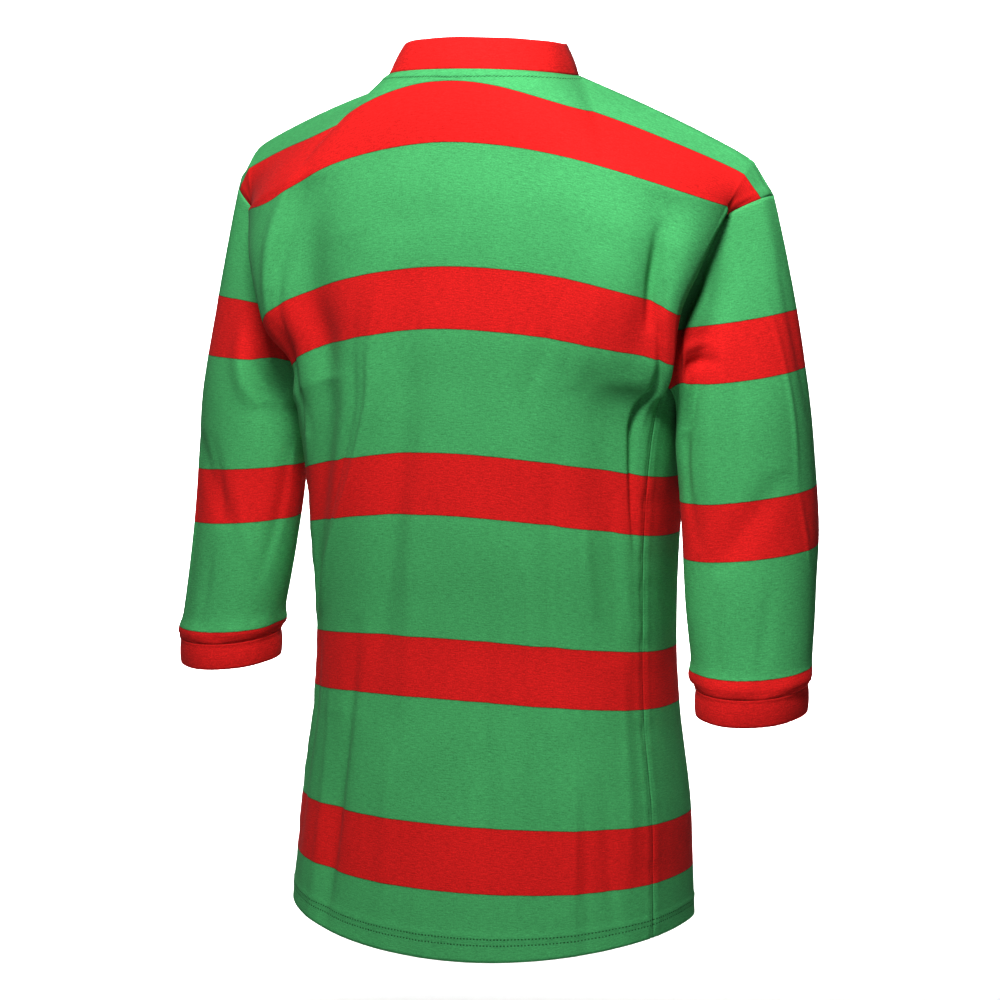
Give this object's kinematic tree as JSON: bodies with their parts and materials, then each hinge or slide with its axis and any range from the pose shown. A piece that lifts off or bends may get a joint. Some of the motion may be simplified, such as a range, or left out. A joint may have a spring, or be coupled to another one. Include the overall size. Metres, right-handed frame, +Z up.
{
  "type": "rugby shirt",
  "caption": "Long rugby shirt in plain red and green hoops, with a V neck, set-in three-quarter sleeves and red bands at the neck and cuffs, in its worn form.",
  "frame": {"origin": "in the neck opening, level with the inner ends of the shoulder seams, where the wearer's neck comes through", "axes": "+Z up, -Y the wearer's front, +X the wearer's left"},
  "size_m": [0.6196, 0.2471, 0.7972],
  "materials": {
    "hooped_jersey": "matt cotton jersey, green with red hoops",
    "red_rib": "matt cotton rib"
  },
  "bodies": {
    "root": {"back_panel": "hooped_jersey", "front_panel": "hooped_jersey", "left_sleeve": "hooped_jersey", "right_sleeve": "hooped_jersey", "left_cuff": "red_rib", "right_cuff": "red_rib", "neckband": "red_rib"}
  },
  "joints": []
}
